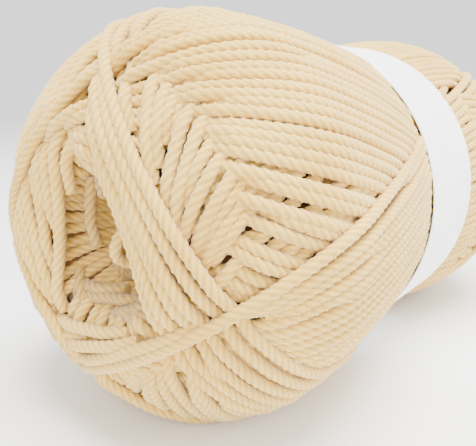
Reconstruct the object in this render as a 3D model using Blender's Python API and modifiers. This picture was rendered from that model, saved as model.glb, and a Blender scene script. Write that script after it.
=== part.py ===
"""Machine-wound ball of yarn lying on its side, with a paper band round its waist.

Metres, +Z up. The ball's long axis lies along X, it rests on z = 0, and the origin is under its
middle. Run with: blender --background --python part.py
"""
import math

import bmesh
import bpy
from mathutils import Vector

# Driving dimensions of the wound form
BELLY_RADIUS = 0.0348        # at the two widest places, under the raised bands
BELLY_X = 0.0400             # distance of each belly from the middle
END_X = 0.0665               # where the dome would close if it had no hollow
DOME_POWER = 1.9             # 2 is an ellipse, less is more pointed
WAIST_RADIUS = 0.0328        # under the paper band
FLAT_DEPTH = 0.0006          # how far the resting side is pressed flat

# The hollow that the winding leaves round its axis at each end
HOLLOW_FLOOR_RADIUS = 0.0045
HOLLOW_MOUTH_RADIUS = 0.0150
HOLLOW_DEPTH = 0.0170

# The winding: each turn lies in a plane through the middle, tilted from the axis
TURN_TILT = math.radians(15.0)
TURN_WIDTH = 0.0021
BAND_RISE = 0.0011           # how much the newest turns of a band stand above the oldest
RIDGE_RISE = 0.0007          # extra height of the single last turn of a band
RIDGE_WIDTH = 0.0030
BANDS = (                    # one row for each crossing band of turns
    {"start_deg": -28.0, "span_deg": 78.0},
    {"start_deg": 50.0, "span_deg": 78.0},
    {"start_deg": 128.0, "span_deg": 106.0},
    {"start_deg": 234.0, "span_deg": 98.0},
)

# Paper band
PAPER_EDGES = (-0.0065, 0.0185)    # along X: the band sits a little towards the +X end
PAPER_THICKNESS = 0.0006
PAPER_GAP = 0.0004           # between the yarn and the inside of the paper

# How finely the meshes are cut
RINGS_HOLLOW = 8
RINGS_DOME = 15
RINGS_WAIST = 11
SEGMENTS = 72
PAPER_SEGMENTS = 96


def make_material(name, colour, roughness):
    material = bpy.data.materials.new(name)
    material.use_nodes = True
    shader = material.node_tree.nodes["Principled BSDF"]
    shader.inputs["Base Color"].default_value = (*colour, 1.0)
    shader.inputs["Roughness"].default_value = roughness
    shader.inputs["Metallic"].default_value = 0.0
    return material


def smooth_step(value):
    value = min(max(value, 0.0), 1.0)
    return value * value * (3.0 - 2.0 * value)


def dome_x(radius):
    """Distance along the axis at which the closed dome has this radius."""
    drop = (1.0 - (radius / BELLY_RADIUS) ** 2) ** (1.0 / DOME_POWER)
    return BELLY_X + (END_X - BELLY_X) * drop


def hollow_depth(radius):
    """How far the end surface is sunk at this distance from the axis."""
    span = HOLLOW_MOUTH_RADIUS - HOLLOW_FLOOR_RADIUS
    return HOLLOW_DEPTH * (1.0 - smooth_step((radius - HOLLOW_FLOOR_RADIUS) / span))


def half_profile(paper_edge):
    """Points (x, radius) from the bottom of a hollow to the edge of the paper band."""
    points = []
    for ring in range(RINGS_HOLLOW):
        radius = HOLLOW_MOUTH_RADIUS * ring / RINGS_HOLLOW
        points.append((dome_x(radius) - hollow_depth(radius), radius))
    mouth_angle = math.asin(HOLLOW_MOUTH_RADIUS / BELLY_RADIUS)
    for ring in range(RINGS_DOME):
        angle = mouth_angle + (math.pi / 2 - mouth_angle) * ring / RINGS_DOME
        radius = BELLY_RADIUS * math.sin(angle)
        points.append((dome_x(radius), radius))
    for ring in range(RINGS_WAIST + 1):
        nip = ring / RINGS_WAIST
        x = BELLY_X + (paper_edge - BELLY_X) * nip
        points.append((x, BELLY_RADIUS - (BELLY_RADIUS - WAIST_RADIUS) * nip ** 2))
    return points


def winding_rise(x, radius, azimuth):
    """Height of the wound surface above its smooth form, from the bands that cross there.

    Here x counts towards the -X end, and azimuth turns from +Z towards -Y.
    """
    lean = x * math.tan(TURN_TILT) / max(radius, 1e-6)
    if abs(lean) >= 1.0:
        return BAND_RISE * 0.5
    opening = math.acos(lean)
    rise = 0.0
    for side in (-1.0, 1.0):
        turn = math.degrees(azimuth + math.pi + side * opening)
        for band in BANDS:
            past_start = (turn - band["start_deg"]) % 360.0
            if past_start < band["span_deg"]:
                rise = max(rise, BAND_RISE * (1.0 - past_start / band["span_deg"]))
            from_start = (past_start + 180.0) % 360.0 - 180.0
            distance = math.radians(from_start) * radius * math.sin(opening)
            ridge = math.exp(-(distance / RIDGE_WIDTH) ** 2)
            rise = max(rise, (BAND_RISE + RIDGE_RISE) * ridge)
    return rise


def relief_share(x, radius):
    """Where the relief shows: not in the hollows, and not under the paper."""
    wall = HOLLOW_MOUTH_RADIUS - HOLLOW_FLOOR_RADIUS
    out_of_hollow = smooth_step((radius - HOLLOW_FLOOR_RADIUS) / wall)
    past_paper = max(PAPER_EDGES[0] - x, x - PAPER_EDGES[1]) - TURN_WIDTH
    return out_of_hollow * smooth_step(past_paper / (4.0 * TURN_WIDTH))


def build_ball():
    near_half = [(-x, radius) for x, radius in half_profile(-PAPER_EDGES[0])]
    far_half = half_profile(PAPER_EDGES[1])
    profile = near_half + list(reversed(far_half))
    last = len(profile) - 1
    mesh_data = bmesh.new()
    bmesh.ops.create_uvsphere(mesh_data, u_segments=SEGMENTS, v_segments=last, radius=1.0)
    floor_z = -(BELLY_RADIUS - FLAT_DEPTH)
    for vertex in mesh_data.verts:
        place = vertex.co.normalized()
        ring = round(math.acos(max(-1.0, min(1.0, place.z))) / math.pi * last)
        x, radius = profile[ring]
        azimuth = math.atan2(place.y, place.x)
        outward = radius
        if radius > 0.0:
            outward += winding_rise(-x, radius, -azimuth) * relief_share(x, radius)
        z = max(outward * math.cos(azimuth), floor_z)
        vertex.co = Vector((x, outward * math.sin(azimuth), z - floor_z))
    bmesh.ops.recalc_face_normals(mesh_data, faces=mesh_data.faces)
    mesh = bpy.data.meshes.new("yarn_ball")
    mesh_data.to_mesh(mesh)
    mesh_data.free()
    mesh.shade_smooth()
    return bpy.data.objects.new("yarn_ball", mesh)


def build_paper():
    """A short sleeve: its outline turned round X, then given the paper's thickness."""
    radius = WAIST_RADIUS + PAPER_GAP + PAPER_THICKNESS
    outline = bpy.data.meshes.new("paper_band")
    outline.from_pydata([(edge, 0.0, radius) for edge in PAPER_EDGES], [(0, 1)], [])
    paper = bpy.data.objects.new("paper_band", outline)
    turn = paper.modifiers.new("Turn", "SCREW")
    turn.axis = "X"
    turn.angle = 2.0 * math.pi
    turn.steps = PAPER_SEGMENTS
    turn.render_steps = PAPER_SEGMENTS
    turn.use_merge_vertices = True
    turn.merge_threshold = 0.00001
    turn.use_normal_calculate = True
    wall = paper.modifiers.new("Thickness", "SOLIDIFY")
    wall.thickness = PAPER_THICKNESS
    wall.offset = -1.0
    paper.location.z = BELLY_RADIUS - FLAT_DEPTH
    return paper


for old in list(bpy.data.objects):
    bpy.data.objects.remove(old, do_unlink=True)

collection = bpy.data.collections.new("ball_of_yarn")
bpy.context.scene.collection.children.link(collection)

ball = build_ball()
ball.data.materials.append(make_material("cream_yarn", (0.80, 0.66, 0.42), 0.9))
collection.objects.link(ball)

paper_band = build_paper()
paper_band.data.materials.append(make_material("white_paper", (0.87, 0.87, 0.86), 0.6))
collection.objects.link(paper_band)
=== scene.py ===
# A machine-wound ball of yarn on its side, wound turn by turn, with a hollow at each end and a paper band.
# Metres, and degrees where a name ends in Deg or a note says so.
import math

import bmesh
import bpy
import numpy as np
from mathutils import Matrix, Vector


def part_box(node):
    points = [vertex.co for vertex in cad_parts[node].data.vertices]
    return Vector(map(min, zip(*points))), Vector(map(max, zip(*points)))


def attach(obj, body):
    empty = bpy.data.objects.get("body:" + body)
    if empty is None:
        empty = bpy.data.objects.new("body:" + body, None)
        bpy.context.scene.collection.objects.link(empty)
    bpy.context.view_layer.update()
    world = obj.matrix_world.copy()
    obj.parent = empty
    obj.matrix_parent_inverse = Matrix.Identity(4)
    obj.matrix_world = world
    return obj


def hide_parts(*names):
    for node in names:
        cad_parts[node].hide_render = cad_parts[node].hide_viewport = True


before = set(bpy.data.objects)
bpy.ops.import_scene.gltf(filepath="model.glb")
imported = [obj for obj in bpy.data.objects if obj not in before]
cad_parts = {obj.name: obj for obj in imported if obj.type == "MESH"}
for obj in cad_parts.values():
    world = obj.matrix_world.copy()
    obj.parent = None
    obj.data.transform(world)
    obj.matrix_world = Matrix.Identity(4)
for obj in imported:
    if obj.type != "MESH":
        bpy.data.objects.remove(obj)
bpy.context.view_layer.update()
paperLow, paperHigh = (np.array(corner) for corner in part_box("paper_band"))
axisZ = float(paperLow[2] + paperHigh[2]) / 2     # height of the ball's long axis
print("frame loaded")


def linear(hexColour):
    channels = [int(hexColour[i:i + 2], 16) / 255 for i in (1, 3, 5)]
    return [c / 12.92 if c <= 0.04045 else ((c + 0.055) / 1.055) ** 2.4 for c in channels] + [1.0]


def smooth(value):
    value = np.clip(value, 0.0, 1.0)
    return value * value * (3 - 2 * value)


# A node with its settings, its fixed inputs and what feeds it
def addNode(tree, kind, settings=None, inputs=None, links=None):
    node = tree.nodes.new(kind)
    for name, value in (settings or {}).items():
        setattr(node, name, value)
    for name, value in (inputs or {}).items():
        node.inputs[name].default_value = value
    for name, socket in (links or {}).items():
        tree.links.new(socket, node.inputs[name])
    return node


def rampStops(node, stops):
    while len(node.color_ramp.elements) < len(stops):
        node.color_ramp.elements.new(0.5)
    for element, (place, colour) in zip(node.color_ramp.elements, stops):
        element.position = place
        element.color = linear(colour)


def addObject(name, data):
    thing = bpy.data.objects.new(name, data)
    bpy.context.scene.collection.objects.link(thing)
    return thing


view = {
    "azimuthDeg": -52.4,       # nought looks along +Y
    "elevationDeg": 13.35,
    "lens": 41.6,              # millimetres
    "right": 0.015408,         # the ball's middle as the lens sees it: to the right, upwards and away
    "up": 0.007992,
    "away": 0.131724,
    "clipStart": 0.005,
}


def addCamera():
    turn, tilt = math.radians(view["azimuthDeg"]), math.radians(view["elevationDeg"])
    right = Vector((math.cos(turn), math.sin(turn), 0))
    ahead = Vector((-math.sin(turn) * math.cos(tilt), math.cos(turn) * math.cos(tilt), -math.sin(tilt)))
    up = right.cross(ahead)
    data = bpy.data.cameras.new("camera")
    data.lens = view["lens"]
    data.clip_start = view["clipStart"]
    camera = addObject("camera", data)
    camera.location = Vector((0, 0, axisZ)) - right * view["right"] - up * view["up"] - ahead * view["away"]
    camera.rotation_euler = ahead.to_track_quat("-Z", "Y").to_euler()
    bpy.context.scene.camera = camera


# Round softboxes: the large one above does most of the work, the other two fill from the sides
softPanels = (
    {"name": "skyPanel", "place": (-0.05, -0.10, 0.55), "aim": (0, 0, 0.03), "size": 0.35, "watts": 11.0},
    {"name": "frontPanel", "place": (-0.50, -0.30, 0.30), "aim": (-0.03, 0, 0.03), "size": 0.4, "watts": 3.2},
    {"name": "sidePanel", "place": (0.35, -0.50, 0.25), "aim": (0, 0, 0.03), "size": 0.35, "watts": 3.2},
)
room = {
    "colour": "#ffffff",
    "strength": 1.6,
    "floorReach": 1.6,         # each way from the middle
    "floorColour": "#f8f8f7",
    "floorRoughness": 0.6,
}


def addPanel(panel):
    data = bpy.data.lights.new(panel["name"], "AREA")
    data.shape = "DISK"
    data.size = panel["size"]
    data.energy = panel["watts"]
    light = addObject(panel["name"], data)
    light.location = panel["place"]
    aim = Vector(panel["aim"]) - Vector(panel["place"])
    light.rotation_euler = aim.to_track_quat("-Z", "Y").to_euler()


def addRoom():
    world = bpy.data.worlds.new("softRoom")
    bpy.context.scene.world = world
    world.use_nodes = True
    background = world.node_tree.nodes["Background"]
    background.inputs["Color"].default_value = linear(room["colour"])
    background.inputs["Strength"].default_value = room["strength"]


# Board with a coat of white emulsion paint: pale, even and almost without shine
def addFloor():
    reach = room["floorReach"]
    mesh = bpy.data.meshes.new("floor")
    corners = [(-reach, -reach, 0), (reach, -reach, 0), (reach, reach, 0), (-reach, reach, 0)]
    mesh.from_pydata(corners, [], [(0, 1, 2, 3)])
    floor = addObject("floor", mesh)
    material = bpy.data.materials.new("paintedBoard")
    material.use_nodes = True
    shader = material.node_tree.nodes["Principled BSDF"]
    shader.inputs["Base Color"].default_value = linear(room["floorColour"])
    shader.inputs["Roughness"].default_value = room["floorRoughness"]
    mesh.materials.append(material)


addCamera()
for panel in softPanels:
    addPanel(panel)
addRoom()
addFloor()
print("camera, lights and floor")

yarnLook = {
    "patchSize": 0.0111,       # slow drift of the dye along and across the ball
    "fibreSize": 0.000385,     # single fibres are finer than shows, so they are drawn in small tufts
    "grooveFrom": 0.9,         # where the shade between two plies starts, of 2 at the bottom of the groove
    "grooveShade": 0.75,
    "fibreBump": 0.5,
    "fibreHeight": 0.0003,
    "roughness": 0.88,
    "specular": 0.25,
    "sheen": 0.35,
    "sheenRoughness": 0.5,
}


# Plied acrylic and wool yarn, softly spun: matt, with painted shade between its plies, with a pale bloom at
# its edges
def spunYarn(name, light, dark, groove):
    material = bpy.data.materials.new(name)
    material.use_nodes = True
    tree = material.node_tree
    shader = tree.nodes["Principled BSDF"]
    place = addNode(tree, "ShaderNodeTexCoord").outputs["Object"]
    plyShadeMask = addNode(tree, "ShaderNodeAttribute", {"attribute_name": "groove"})
    patches = addNode(tree, "ShaderNodeTexNoise",
                      inputs={"Scale": 1 / yarnLook["patchSize"], "Detail": 2.0}, links={"Vector": place})
    fibres = addNode(tree, "ShaderNodeTexNoise",
                     inputs={"Scale": 1 / yarnLook["fibreSize"], "Detail": 3.0, "Roughness": 0.7},
                     links={"Vector": place})
    body = addNode(tree, "ShaderNodeValToRGB", links={"Fac": patches.outputs["Fac"]})
    rampStops(body, [(0.3, dark), (0.7, light)])
    shade = addNode(tree, "ShaderNodeMapRange", links={"Value": plyShadeMask.outputs["Fac"]},
                    inputs={"From Min": yarnLook["grooveFrom"], "From Max": 2.0,
                            "To Max": yarnLook["grooveShade"]})
    # The groove colour is painted shade, mixed in more strongly towards the bottom of each groove between the
    # plies
    mixed = addNode(tree, "ShaderNodeMix", {"data_type": "RGBA"}, {"B": linear(groove)},
                    {"Factor": shade.outputs["Result"], "A": body.outputs["Color"]})
    tree.links.new(mixed.outputs["Result"], shader.inputs["Base Color"])
    bump = addNode(tree, "ShaderNodeBump", links={"Height": fibres.outputs["Fac"]},
                   inputs={"Strength": yarnLook["fibreBump"], "Distance": yarnLook["fibreHeight"]})
    tree.links.new(bump.outputs["Normal"], shader.inputs["Normal"])
    shader.inputs["Roughness"].default_value = yarnLook["roughness"]
    shader.inputs["Specular IOR Level"].default_value = yarnLook["specular"]
    shader.inputs["Sheen Weight"].default_value = yarnLook["sheen"]
    shader.inputs["Sheen Roughness"].default_value = yarnLook["sheenRoughness"]
    return material


paperLook = {
    "cloudSize": 0.00333,      # cloudy formation of the pulp
    "grainSize": 0.000333,
    "tones": ("#f4f4f3", "#fbfbfa"),
    "grainBump": 0.15,
    "grainHeight": 0.0001,
    "roughness": 0.7,
}


# Uncoated white paper from a roll: matt, faintly cloudy, with a fine grain
def uncoatedPaper():
    material = bpy.data.materials.new("uncoatedPaper")
    material.use_nodes = True
    tree = material.node_tree
    shader = tree.nodes["Principled BSDF"]
    place = addNode(tree, "ShaderNodeTexCoord").outputs["Object"]
    cloud = addNode(tree, "ShaderNodeTexNoise",
                    inputs={"Scale": 1 / paperLook["cloudSize"], "Detail": 4.0}, links={"Vector": place})
    tone = addNode(tree, "ShaderNodeValToRGB", links={"Fac": cloud.outputs["Fac"]})
    rampStops(tone, list(zip((0.3, 0.7), paperLook["tones"])))
    tree.links.new(tone.outputs["Color"], shader.inputs["Base Color"])
    grain = addNode(tree, "ShaderNodeTexNoise",
                    inputs={"Scale": 1 / paperLook["grainSize"], "Detail": 2.0}, links={"Vector": place})
    bump = addNode(tree, "ShaderNodeBump", links={"Height": grain.outputs["Fac"]},
                   inputs={"Strength": paperLook["grainBump"], "Distance": paperLook["grainHeight"]})
    tree.links.new(bump.outputs["Normal"], shader.inputs["Normal"])
    shader.inputs["Roughness"].default_value = paperLook["roughness"]
    return material


outerYarn = spunYarn("spunYarn", "#ecc665", "#e0b652", "#a1752a")
# A darker copy of the same yarn with painted shade, for the inner layers that lie under newer turns
innerYarnPaintedShade = spunYarn("spunYarnPaintedShadeInside", "#c9a454", "#b89044", "#6a4c20")
# A much darker copy of the same yarn with painted shade, for the core that shows in the hollows and between
# turns
deepYarnPaintedShade = spunYarn("spunYarnPaintedShadeDeep", "#7d5a30", "#5f4322", "#4a331a")
print("materials")

# The ball is worked out round its own middle: the first axis up, the second to -Y, the third to -X, where
# the near end is. Polar angles count from that end. The form is the middle line of the outermost yarn.
form = {
    "bellyRadius": 0.0350,     # at the two widest places
    "bellyX": 0.0400,
    "endX": 0.0660,            # where the dome would close if it had no hollow
    "domePower": 1.9,          # 2 is an ellipse, less is more pointed
    "waistRadius": 0.0316,     # under the paper band
    "domePoints": 60,
    "waistPoints": 40,
}


# Polar angles, and how far the form lies from the middle at each
def formProfile():
    nearEdge, farEdge = -paperLow[0], paperHigh[0]
    radius, bellyX = form["bellyRadius"], form["bellyX"]
    angle = np.linspace(0, math.pi / 2, form["domePoints"])
    domeRadius = radius * np.sin(angle)
    domeX = bellyX + (form["endX"] - bellyX) * np.cos(angle) ** (2 / form["domePower"])
    nip = np.linspace(0, 1, form["waistPoints"])[1:]
    nipRadius = radius - (radius - form["waistRadius"]) * nip ** 2
    nearX = np.concatenate([domeX, bellyX + (nearEdge - bellyX) * nip])
    farX = np.concatenate([domeX, bellyX + (farEdge - bellyX) * nip])
    endRadius = np.concatenate([domeRadius, nipRadius])
    waist = np.linspace(nearEdge, -farEdge, form["waistPoints"])[1:-1]
    along = np.concatenate([nearX, waist, -farX[::-1]])
    across = np.concatenate([endRadius, np.full(len(waist), form["waistRadius"]), endRadius[::-1]])
    return np.arctan2(across, along), np.hypot(across, along)


profileAngle, profileReach = formProfile()


def fromNearestEnd(polar):
    return np.degrees(np.minimum(polar, math.pi - polar))


yarn = {
    "width": 0.00215,          # medium knitting yarn, slightly pressed
    "plies": 4,
    "plyDepth": 0.17,          # share of the radius that a groove between plies cuts in
    "twistPitch": 0.0062,
    "step": 0.00072,           # distance between two rings of the swept yarn
    "ringPoints": 12,
    "restShare": 0.46,         # of its width: how high the lowest yarn's middle is kept over the floor
}

# One row for each crossing band of turns, newest band first, in degrees. Start is the plane of the band's
# last turn and span runs back to its first. Tilts are pairs: how far back from the start, and how far
# from the axis the turns pass there. Slipped is how many of the newest turns have slid closer together.
windingBands = (
    {"start": -28.0, "span": 78.0, "slipped": 0,
     "tilts": ((0, 15.9), (8, 14.8), (26, 11.5), (45, 12.5), (78, 14.0))},
    {"start": -126.0, "span": 98.0, "slipped": 8,
     "tilts": ((0, 15.5), (16, 9.0), (22.5, 14.4), (36, 13.4), (55, 13.5), (62, 16.0), (98, 17.0))},
    {"start": 128.0, "span": 106.0, "slipped": 0,
     "tilts": ((0, 16.0), (24, 17.3), (45, 17.0), (58, 15.8), (70, 13.8), (80, 10.5), (106, 10.0))},
    {"start": 50.0, "span": 78.0, "slipped": 0,
     "tilts": ((0, 15.0), (20, 13.0), (40, 9.4), (46, 7.0), (78, 9.0))},
)

winding = {
    "turnSpacingDeg": 3.05,    # round the axis, from one turn to the next
    "slippedSpacing": 0.72,    # what is left of that spacing between slipped turns
    "planeSpreadDeg": 0.28,    # how unevenly the turns lie: in their planes, tilts and heights
    "tiltSpreadDeg": 0.35,
    "riseSpread": 0.00008,
    "wander": ((5, 0.00012), (9, 0.00010)),    # waves in a turn, and their height
    "bandRise": 0.0011,        # newest turns of a band stand this much above its oldest
    "riseFromDeg": 4,          # from the axis, where that rise starts, and how far it takes
    "riseOverDeg": 10,
    "mouthDeg": 17,            # where turns start to sink into the hollow, and how far that takes
    "mouthOverDeg": 12,
    "mouthSink": 0.0035,
    "mouthInsetSink": 1.2,     # extra sinking of the inner layers, as a share of their inset
    "sink": 0.0017,            # how far a turn dives where a newer one covers it
    "hideShare": 0.42,         # of the yarn's width: a newer turn nearer than that hides what is under it
    "samples": 520,            # points round a turn
    "diveSamples": 3,          # how many of them a turn takes to dive
    "shortestRun": 4,
    "pressBefore": 0.0015,     # outside the paper's edge, where its press starts, and how far it takes
    "pressOver": 0.004,
    "cutWherePressed": 0.98,   # under the paper, turns end where they are pressed this fully
    "seed": 11,
}

windingLayers = (              # outermost first
    {"inset": 0.0, "tiltShare": 1.0, "shiftDeg": 0.0, "pieces": 5, "material": outerYarn},
    # The inner layers take the yarn copy darkened with painted shade
    {"inset": 0.0019, "tiltShare": 0.72, "shiftDeg": 1.6, "pieces": 1, "material": innerYarnPaintedShade},
    {"inset": 0.0036, "tiltShare": 0.45, "shiftDeg": 0.7, "pieces": 1, "material": innerYarnPaintedShade},
)


# Every turn of a layer, newest first
def listTurns(layer, random):
    turns = []
    spacing = winding["turnSpacingDeg"]
    longest = max(int(band["span"] / spacing) for band in windingBands)
    for count in range(longest):
        for band in windingBands:
            back = count * spacing
            if back >= band["span"]:
                continue
            height = winding["bandRise"] * (1 - back / band["span"])
            tilt = np.interp(back, *zip(*band["tilts"])) * layer["tiltShare"]
            if count < band["slipped"]:
                back *= winding["slippedSpacing"]
            plane = band["start"] + back + layer["shiftDeg"]
            turns.append({
                "plane": plane + random.normal(0, winding["planeSpreadDeg"]),
                "tilt": tilt + random.normal(0, winding["tiltSpreadDeg"]),
                "rise": height + random.normal(0, winding["riseSpread"]),
                "waveStarts": random.uniform(0, 2 * math.pi, 2),
            })
    return turns


def turnNormal(turn):
    plane, tilt = math.radians(turn["plane"]), math.radians(turn["tilt"])
    return (math.cos(plane) * math.cos(tilt), math.sin(plane) * math.cos(tilt), math.sin(tilt))


# Directions from the middle to the points of a turn, and how far out each point lies
def layTurn(turn, layer):
    around = np.linspace(0, 2 * math.pi, winding["samples"], endpoint=False)
    plane, tilt = math.radians(turn["plane"]), math.radians(turn["tilt"])
    nearest = (-math.cos(plane) * math.sin(tilt), -math.sin(plane) * math.sin(tilt), math.cos(tilt))
    sideways = (-math.sin(plane), math.cos(plane), 0)
    directions = np.outer(np.cos(around), nearest) + np.outer(np.sin(around), sideways)
    polar = np.arccos(np.clip(directions[:, 2], -1, 1))
    reach = np.interp(polar, profileAngle, profileReach) - layer["inset"]
    sunk = winding["mouthSink"] + winding["mouthInsetSink"] * layer["inset"]
    reach -= sunk * smooth((winding["mouthDeg"] - fromNearestEnd(polar)) / winding["mouthOverDeg"])
    for (waves, height), start in zip(winding["wander"], turn["waveStarts"]):
        reach += height * np.sin(waves * around + start)
    return directions, reach, polar


# One well under the paper band, nought clear of its edges
def pressUnderPaper(along):
    inside = np.minimum(along + paperHigh[0], -paperLow[0] - along)
    return smooth((inside + winding["pressBefore"]) / winding["pressOver"])


def blurRing(values, steps):
    total = sum(np.roll(values.astype(float), step) for step in range(-steps, steps + 1))
    return total / (2 * steps + 1)


# The stretches of a closed turn that are kept; a turn that is kept whole overlaps its own start
def cutRuns(points, keep):
    if keep.all():
        return [np.vstack([points, points[:2]])]
    start = int(np.argmin(keep))
    points, keep = np.roll(points, -start, axis=0), np.roll(keep, -start)
    ends = np.flatnonzero(np.diff(np.concatenate([[0], keep.astype(int), [0]])))
    runs = [points[first:last] for first, last in zip(ends[::2], ends[1::2])]
    return [run for run in runs if len(run) >= winding["shortestRun"]]


# Stretches of a layer's turns that no newer turn hides. A turn dives a little before it is cut off.
def layerRuns(turns, layer, outerTurns):
    runs = []
    newerNormals = [turnNormal(turn) for turn in outerTurns]
    for turn in turns:
        directions, reach, polar = layTurn(turn, layer)
        covered = np.zeros(len(reach), dtype=bool)
        if newerNormals:
            gaps = np.abs(directions @ np.array(newerNormals).T) * reach[:, None]
            covered = (gaps < yarn["width"] * winding["hideShare"]).any(1)
        pressed = pressUnderPaper(directions[:, 2] * reach)
        clearOfAxis = smooth((fromNearestEnd(polar) - winding["riseFromDeg"]) / winding["riseOverDeg"])
        height = reach + turn["rise"] * clearOfAxis * (1 - pressed)
        height -= winding["sink"] * blurRing(covered, winding["diveSamples"])
        shows = ~covered & (pressed < winding["cutWherePressed"])
        keep = blurRing(shows, winding["diveSamples"]) > 0
        runs.extend(cutRuns(directions * height[:, None], keep))
        newerNormals.append(turnNormal(turn))
    return runs


hollow = {
    "strands": 33,             # down the wall of each hollow
    "strandPoints": 60,
    "startDeg": (3.5, 8.0, 6.0),    # in turn, how near the axis they start
    "endDeg": 34.0,            # under the outer turns
    "under": 0.0019,           # below the outermost yarn
    "lift": 0.0004,            # of every second strand over its neighbours
    "liftSpread": 0.00015,
    "placeSpread": 0.2,        # of the distance between two strands
    "depth": 0.0200,
    "mouthDeg": 14.0,          # where the wall starts, and how far it takes down to the depth
    "wallDeg": 10.0,
    "swirl": 0.7,              # radians that a strand turns round the axis on its way in
}
innerEnd = {                   # the loop of yarn that stands up in the near hollow
    "from": -0.35 * math.pi,
    "to": 1.35 * math.pi,
    "points": 50,
    "halfHeight": 0.0037,
    "aside": 0.0034,
    "bend": 0.0008,
    "depthAt": 0.0555,         # from the ball's middle
    "depthReach": 0.0045,
}


# Side is 1 for the near end and -1 for the far end
def hollowRuns(side, random):
    runs = []
    for strand in range(hollow["strands"]):
        degrees = np.linspace(hollow["startDeg"][strand % 3], hollow["endDeg"], hollow["strandPoints"])
        polar = np.radians(degrees)
        reach = np.interp(polar if side > 0 else math.pi - polar, profileAngle, profileReach)
        downWall = smooth((hollow["mouthDeg"] - degrees) / hollow["wallDeg"])
        reach -= hollow["under"] + hollow["depth"] * downWall
        reach += hollow["lift"] * (strand % 2) + random.normal(0, hollow["liftSpread"])
        shift = random.uniform(-hollow["placeSpread"], hollow["placeSpread"])
        around = 2 * math.pi * (strand + shift) / hollow["strands"]
        around = around + hollow["swirl"] * (1 - degrees / hollow["endDeg"]) ** 2
        runs.append(np.stack([reach * np.sin(polar) * np.cos(around), reach * np.sin(polar) * np.sin(around),
                              side * reach * np.cos(polar)], 1))
    if side > 0:
        runs.append(innerEndRun())
    return runs


def innerEndRun():
    turn = np.linspace(innerEnd["from"], innerEnd["to"], innerEnd["points"])
    return np.stack([innerEnd["halfHeight"] * np.cos(turn),
                     innerEnd["aside"] + innerEnd["bend"] * np.sin(2 * turn),
                     innerEnd["depthAt"] + innerEnd["depthReach"] * np.sin(turn)], 1)


def resample(run, step):
    lengths = np.concatenate([[0], np.cumsum(np.linalg.norm(np.diff(run, axis=0), axis=1))])
    places = np.linspace(0, lengths[-1], max(4, int(lengths[-1] / step) + 1))
    return np.stack([np.interp(places, lengths, run[:, axis]) for axis in range(3)], 1)


# From the ball's own axes to the scene's, pressed flat where the ball rests
def toWorld(points):
    world = np.stack([-points[:, 2], -points[:, 1], points[:, 0] + axisZ], 1)
    world[:, 2] = np.maximum(world[:, 2], yarn["width"] * yarn["restShare"])
    return world


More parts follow.
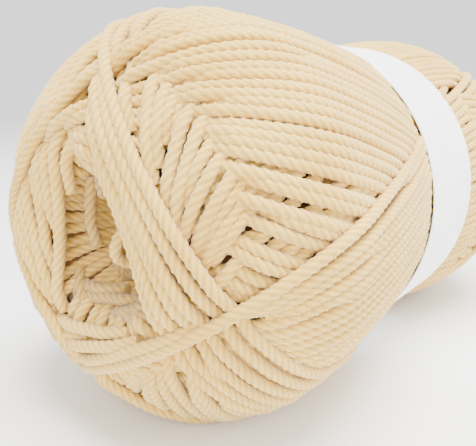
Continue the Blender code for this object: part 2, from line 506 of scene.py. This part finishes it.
# Geometry Nodes: centre lines in, plied and twisted yarn out
def yarnTree():
    tree = bpy.data.node_groups.new("plyYarn", "GeometryNodeTree")
    sockets = tree.interface
    sockets.new_socket("Centre lines", in_out="INPUT", socket_type="NodeSocketGeometry")
    for name in ("Yarn radius", "Ply depth", "Twist pitch"):
        sockets.new_socket(name, in_out="INPUT", socket_type="NodeSocketFloat")
    for name in ("Plies", "Ring points"):
        sockets.new_socket(name, in_out="INPUT", socket_type="NodeSocketInt")
    sockets.new_socket("Material", in_out="INPUT", socket_type="NodeSocketMaterial")
    sockets.new_socket("Yarn", in_out="OUTPUT", socket_type="NodeSocketGeometry")
    given = addNode(tree, "NodeGroupInput").outputs

    rail = addNode(tree, "GeometryNodeMeshToCurve", links={"Mesh": given["Centre lines"]})
    along = addNode(tree, "GeometryNodeSplineParameter")
    turns = addNode(tree, "ShaderNodeMath", {"operation": "DIVIDE"},
                    links={0: along.outputs["Length"], 1: given["Twist pitch"]})
    tilt = addNode(tree, "ShaderNodeMath", {"operation": "MULTIPLY"}, {1: 2 * math.pi}, {0: turns.outputs[0]})
    twisted = addNode(tree, "GeometryNodeSetCurveTilt",
                      links={"Curve": rail.outputs["Curve"], "Tilt": tilt.outputs[0]})

    ring = addNode(tree, "GeometryNodeCurvePrimitiveCircle",
                   links={"Resolution": given["Ring points"], "Radius": given["Yarn radius"]})
    index = addNode(tree, "GeometryNodeInputIndex")
    share = addNode(tree, "ShaderNodeMath", {"operation": "DIVIDE"},
                    links={0: index.outputs[0], 1: given["Ring points"]})
    ply = addNode(tree, "ShaderNodeMath", {"operation": "MULTIPLY"},
                  links={0: share.outputs[0], 1: given["Plies"]})
    plyAngle = addNode(tree, "ShaderNodeMath", {"operation": "MULTIPLY"}, {1: 2 * math.pi},
                       {0: ply.outputs[0]})
    crest = addNode(tree, "ShaderNodeMath", {"operation": "COSINE"}, links={0: plyAngle.outputs[0]})
    groove = addNode(tree, "ShaderNodeMath", {"operation": "SUBTRACT"}, {0: 1.0}, {1: crest.outputs[0]})
    depth = addNode(tree, "ShaderNodeMath", {"operation": "MULTIPLY"},
                    links={0: groove.outputs[0], 1: given["Ply depth"]})
    scale = addNode(tree, "ShaderNodeMath", {"operation": "MULTIPLY_ADD"}, {1: -0.5, 2: 1.0},
                    {0: depth.outputs[0]})     # the groove runs from 0 to 2, so half of it
    place = addNode(tree, "GeometryNodeInputPosition")
    drawn = addNode(tree, "ShaderNodeVectorMath", {"operation": "SCALE"},
                    links={0: place.outputs[0], "Scale": scale.outputs[0]})
    section = addNode(tree, "GeometryNodeSetPosition",
                      links={"Geometry": ring.outputs["Curve"], "Position": drawn.outputs[0]})
    marked = addNode(tree, "GeometryNodeStoreNamedAttribute", {"data_type": "FLOAT", "domain": "POINT"},
                     {"Name": "groove"},
                     {"Geometry": section.outputs["Geometry"], "Value": groove.outputs[0]})

    swept = addNode(tree, "GeometryNodeCurveToMesh", {}, {"Fill Caps": True},
                    {"Curve": twisted.outputs["Curve"], "Profile Curve": marked.outputs["Geometry"]})
    rounded = addNode(tree, "GeometryNodeSetShadeSmooth", links={"Geometry": swept.outputs["Mesh"]})
    real = addNode(tree, "GeometryNodeRealizeInstances", links={"Geometry": rounded.outputs["Geometry"]})
    finish = addNode(tree, "GeometryNodeSetMaterial",
                     links={"Geometry": real.outputs["Geometry"], "Material": given["Material"]})
    addNode(tree, "NodeGroupOutput", links={"Yarn": finish.outputs["Geometry"]})
    return tree


# Yarn along every run, as one plain mesh
def spinYarn(name, runs, tree, material):
    verts, edges = [], []
    for run in runs:
        points = toWorld(resample(run, yarn["step"]))
        first = len(verts)
        verts.extend(points.tolist())
        edges.extend((i, i + 1) for i in range(first, first + len(points) - 1))
    lines = bpy.data.meshes.new(name + "Lines")
    lines.from_pydata(verts, edges, [])
    guide = addObject(name + "Lines", lines)
    modifier = guide.modifiers.new("plyYarn", "NODES")
    modifier.node_group = tree
    given = {"Yarn radius": yarn["width"] / 2, "Ply depth": yarn["plyDepth"],
             "Twist pitch": yarn["twistPitch"], "Plies": yarn["plies"],
             "Ring points": yarn["ringPoints"], "Material": material}
    for socket in tree.interface.items_tree:
        if socket.in_out == "INPUT" and socket.name in given:
            modifier[socket.identifier] = given[socket.name]
    mesh = bpy.data.meshes.new_from_object(guide.evaluated_get(bpy.context.evaluated_depsgraph_get()))
    bpy.data.objects.remove(guide, do_unlink=True)
    mesh.name = name
    piece = addObject(name, mesh)
    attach(piece, "root")
    print(name, len(runs), "runs", sum(len(face.vertices) - 2 for face in mesh.polygons), "triangles")


random = np.random.default_rng(winding["seed"])
plyYarn = yarnTree()
newerTurns = []
for number, layer in enumerate(windingLayers, 1):
    turns = listTurns(layer, random)
    runs = layerRuns(turns, layer, newerTurns)
    newerTurns += turns
    for piece in range(layer["pieces"]):
        name = "turns_layer%d_%d" % (number, piece + 1)
        spinYarn(name, runs[piece::layer["pieces"]], plyYarn, layer["material"])
for side, end in ((1, "near"), (-1, "far")):
    spinYarn("hollow_" + end, hollowRuns(side, random), plyYarn, outerYarn)


# A closed mesh from its corners and faces, all turned outwards
def closedMesh(name, verts, faces, material):
    mesh = bpy.data.meshes.new(name)
    mesh.from_pydata(verts, [], faces)
    work = bmesh.new()
    work.from_mesh(mesh)
    bmesh.ops.recalc_face_normals(work, faces=work.faces)
    work.to_mesh(mesh)
    work.free()
    mesh.shade_smooth()
    mesh.materials.append(material)
    return mesh


core = {
    "rings": 95,
    "segments": 96,
    "inset": 0.0030,           # below the outermost yarn's middle
    "hollowDepth": 0.0225,
    "hollowDeg": 13,           # where its hollow starts, and how far it takes down to the depth
    "wallDeg": 9,
}


# The imported yarn under the turns that show, coloured a deep brown as painted shade: rings from the near end
# to the far one, closed at both
def woundCore():
    rings, segments = core["rings"], core["segments"]
    angles = np.linspace(0, math.pi, rings + 2)
    reach = np.interp(angles, profileAngle, profileReach) - core["inset"]
    reach -= core["hollowDepth"] * smooth((core["hollowDeg"] - fromNearestEnd(angles)) / core["wallDeg"])
    around = 2 * math.pi * np.arange(segments) / segments
    radius, along = reach * np.sin(angles), reach * np.cos(angles)
    verts = [(r * math.cos(a), r * math.sin(a), x) for r, x in zip(radius[1:-1], along[1:-1]) for a in around]
    nearPole, farPole, lastRing = len(verts), len(verts) + 1, len(verts) - segments
    verts += [(0, 0, along[0]), (0, 0, along[-1])]
    faces = []
    for segment in range(segments):
        beside = (segment + 1) % segments
        faces.append((nearPole, segment, beside))
        faces.append((farPole, lastRing + beside, lastRing + segment))
        for low in range(0, lastRing, segments):
            high = low + segments
            faces.append((low + segment, high + segment, high + beside, low + beside))
    # The core's dark colour is painted shade
    mesh = closedMesh("wound_core", toWorld(np.array(verts)).tolist(), faces, deepYarnPaintedShade)
    wound = addObject("wound_core", mesh)
    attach(wound, "root")
    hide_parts("yarn_ball")


woundCore()
print("ball")

paperBand = {
    "thickness": 0.00025,
    "clear": 0.00012,          # between the paper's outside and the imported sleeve's
    "inset": 0.0003,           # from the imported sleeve's edges
    "overlap": math.radians(20),
    "seam": math.radians(150),      # where the strip starts, from the top towards -Y
    "tuckFrom": 0.2,           # radians: where the tucked-in start comes out, and how far that takes
    "tuckOver": 1.0,
    "tuckDepth": 1.15,         # thicknesses
    "waver": 0.00018,          # how far the cut edges wander
    "bow": 0.00012,            # how far the middle bulges and dips, never past the outside
    "columns": 260,
    "rows": 10,
    "sharpDeg": 40,
}


# The paper's own surface at an angle from the strip's start, a share of its width and a skin: 0 out, 1 in
def paperPoint(angle, share, skin):
    outOfTuck = float(smooth((angle - paperBand["tuckFrom"]) / paperBand["tuckOver"]))
    tucked = paperBand["tuckDepth"] * (1 - outOfTuck)
    outside = float(paperHigh[2] - paperLow[2]) / 2 - paperBand["clear"] - paperBand["bow"]
    bow = paperBand["bow"] * math.sin(3 * angle) * (1 - (2 * share - 1) ** 2)
    radius = outside - paperBand["thickness"] * (tucked + skin) + bow
    low, high = paperLow[0] + paperBand["inset"], paperHigh[0] - paperBand["inset"]
    waver = paperBand["waver"] * math.sin(5 * angle + 9 * share) * math.sin(1.3 * angle)
    around = paperBand["seam"] + angle
    return low + (high - low) * share + waver, -radius * math.sin(around), axisZ + radius * math.cos(around)


# One strip of paper that overlaps its own start: two skins, joined along their four edges
def wrapPaper():
    columns, rows = paperBand["columns"], paperBand["rows"]
    turn = 2 * math.pi + paperBand["overlap"]
    verts = [paperPoint(turn * column / columns, row / rows, skin)
             for skin in (0, 1) for column in range(columns + 1) for row in range(rows + 1)]
    inner = len(verts) // 2
    stride = rows + 1
    faces = []
    for a in (column * stride + row for column in range(columns) for row in range(rows)):
        b = a + stride
        faces.append((a, a + 1, b + 1, b))
        faces.append((inner + a, inner + b, inner + b + 1, inner + a + 1))
    for a in (column * stride + row for column in range(columns) for row in (0, rows)):
        faces.append((a, a + stride, inner + a + stride, inner + a))
    for a in (column * stride + row for column in (0, columns) for row in range(rows)):
        faces.append((a, a + 1, inner + a + 1, inner + a))
    mesh = closedMesh("paper_wrap", verts, faces, uncoatedPaper())
    mesh.set_sharp_from_angle(angle=math.radians(paperBand["sharpDeg"]))
    wrap = addObject("paper_wrap", mesh)
    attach(wrap, "root")
    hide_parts("paper_band")


wrapPaper()
print("paper band")
